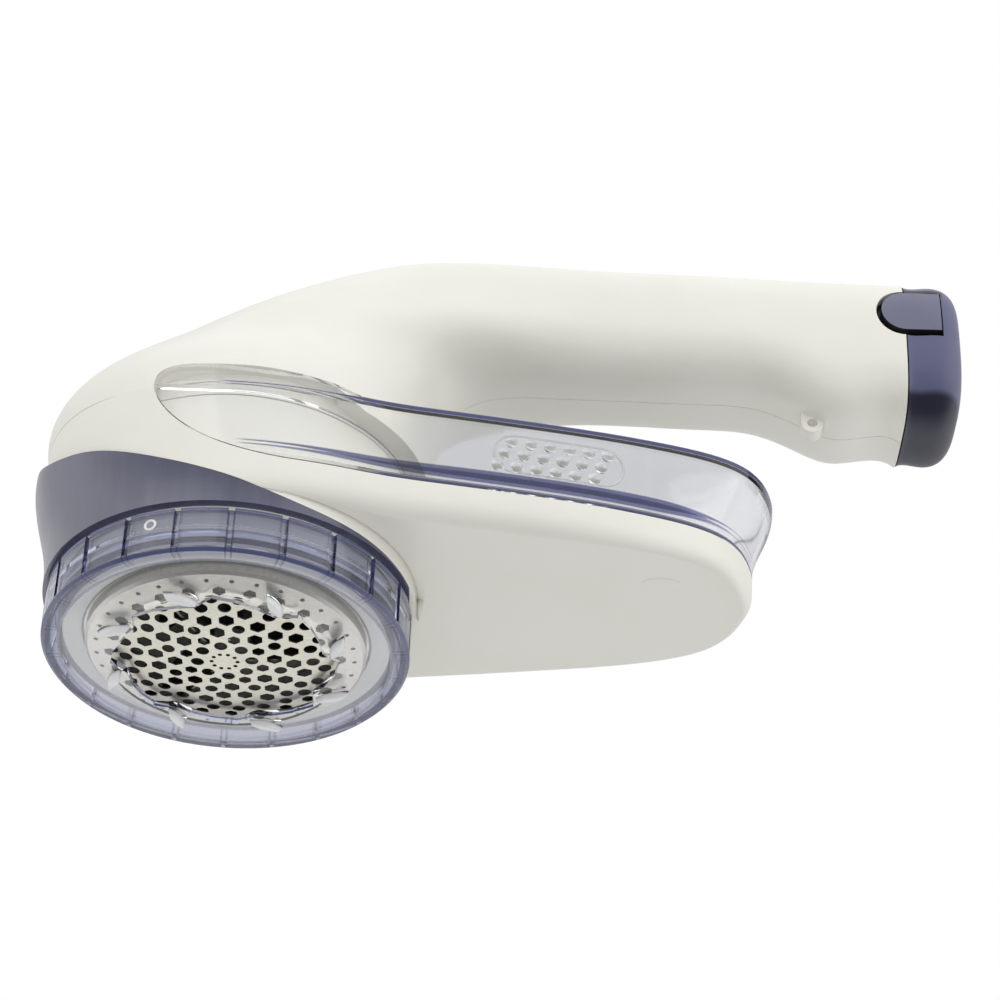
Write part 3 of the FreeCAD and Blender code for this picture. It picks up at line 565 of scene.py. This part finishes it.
def studio_world():
    """White to the camera, a soft grey ramp to gloss, and brighter from above to all else."""
    world = bpy.data.worlds.new("studio")
    world.use_nodes = True
    tree = world.node_tree
    tree.nodes.clear()

    def add(kind, links=None, **values):
        return new_node(tree, kind, links, values)

    direction = add("ShaderNodeTexCoord").outputs["Generated"]
    height = add("ShaderNodeSeparateXYZ", {"Vector": direction}).outputs["Z"]
    level = add("ShaderNodeMapRange", {"Value": height}, From_Min=-0.45, From_Max=0.35,
                To_Min=WORLD_LOW, To_Max=WORLD_HIGH,
                interpolation_type="SMOOTHSTEP").outputs["Result"]
    away = add("ShaderNodeVectorMath", {0: direction}, operation="DOT_PRODUCT")
    away.inputs[1].default_value = (0, 1, 1)
    place = add("ShaderNodeMapRange", {"Value": away.outputs["Value"]},
                From_Min=MIRROR_FROM, From_Max=MIRROR_TO).outputs["Result"]
    ramp = add("ShaderNodeValToRGB", {"Fac": place})
    while len(ramp.color_ramp.elements) < len(MIRROR):
        ramp.color_ramp.elements.new(0.5)
    for stop, (at, grey) in zip(ramp.color_ramp.elements, MIRROR):
        stop.position = (at - MIRROR_FROM) / (MIRROR_TO - MIRROR_FROM)
        stop.color = (grey, grey, grey, 1.0)
    mirrored = add("ShaderNodeMath", {0: ramp.outputs["Color"]}, operation="MULTIPLY")
    mirrored.inputs[1].default_value = MIRROR_PEAK
    mirrored = mirrored.outputs[0]
    rays = add("ShaderNodeLightPath").outputs
    white = (1.0, 1.0, 1.0, 1.0)
    lit = add("ShaderNodeBackground", {"Strength": level}, Color=white)
    glossy = add("ShaderNodeBackground", {"Strength": mirrored}, Color=white)
    seen = add("ShaderNodeBackground", Color=white, Strength=1.0)
    both = add("ShaderNodeMixShader", {"Fac": rays["Is Glossy Ray"], 1: lit.outputs[0],
                                       2: glossy.outputs[0]})
    mixed = add("ShaderNodeMixShader", {"Fac": rays["Is Camera Ray"], 1: both.outputs[0],
                                        2: seen.outputs[0]})
    add("ShaderNodeOutputWorld", {"Surface": mixed.outputs[0]})
    return world


def floor_material():
    """Pale floor, seen from above only: from below the object is looked at through it."""
    m = Nodes("studio_floor")
    tone = m.ramp(m.noise(m.coordinates(), 3), (0.86, 0.86, 0.86), (0.90, 0.90, 0.90), 0.4, 0.6)
    paint = m.add("ShaderNodeBsdfDiffuse", {"Color": tone})
    nothing = m.add("ShaderNodeBsdfTransparent")
    back = m.add("ShaderNodeNewGeometry").outputs["Backfacing"]
    return m.finish(m.add("ShaderNodeMixShader",
                          {"Fac": back, 1: paint.outputs[0], 2: nothing.outputs[0]}).outputs[0])


def make_floor(level, half=1.6):
    mesh = bpy.data.meshes.new("floor")
    mesh.from_pydata([(-half, -half, level), (half, -half, level), (half, half, level),
                      (-half, half, level)], [], [(0, 1, 2, 3)])
    floor = bpy.data.objects.new("floor", mesh)
    mesh.materials.append(floor_material())
    scene.collection.objects.link(floor)
    floor.visible_shadow = floor.visible_diffuse = False
    floor.visible_glossy = floor.visible_transmission = False


def soft_light(name, place, target, size, power):
    data = bpy.data.lights.new(name, "AREA")
    data.shape, data.size, data.size_y, data.energy = "RECTANGLE", size[0], size[1], power
    light = bpy.data.objects.new(name, data)
    light.location = place
    light.rotation_euler = (Vector(target) - Vector(place)).to_track_quat("-Z", "Y").to_euler()
    scene.collection.objects.link(light)
    light.visible_camera = False


scene.world = studio_world()
scene.view_settings.view_transform = "Standard"

lo, hi = cad_box
centre = (lo + hi) / 2
make_floor(lo.z - 0.0005)
for name, offset, size, watts in (("key", (-0.35, -0.55, 0.55), (0.6, 0.6), 0.8),
                                  ("side", (0.55, -0.40, 0.04), (0.5, 0.5), 0.8),
                                  ("top", (0.1, 0.1, 0.8), (0.9, 0.7), 0.5)):
    soft_light(name, centre + Vector(offset), centre, size, watts)

# ---- camera ----------------------------------------------------------------------------------
CAMERA_ELEVATION = math.radians(-35.8)
CAMERA_ROLL = math.radians(2.1)
LENS_MM = 108.0
FOIL_PLANE = Vector((0.0, 0.0, 0.003))                     # point on the head's axis
HEAD_FROM_CAMERA = Vector((-0.05214, -0.02931, -0.56941))  # where the camera sees that point

camera_data = bpy.data.cameras.new("camera")
camera_data.sensor_width = 36.0
camera_data.lens = LENS_MM
camera = bpy.data.objects.new("camera", camera_data)
scene.collection.objects.link(camera)
back = Vector((0.0, -math.cos(CAMERA_ELEVATION), math.sin(CAMERA_ELEVATION)))
right = Vector((1.0, 0.0, 0.0))
up = back.cross(right)
c, s = math.cos(CAMERA_ROLL), math.sin(CAMERA_ROLL)
axes = Matrix((c * right + s * up, -s * right + c * up, back)).transposed()
camera.matrix_world = Matrix.LocRotScale(FOIL_PLANE - axes @ HEAD_FROM_CAMERA, axes, None)
scene.camera = camera
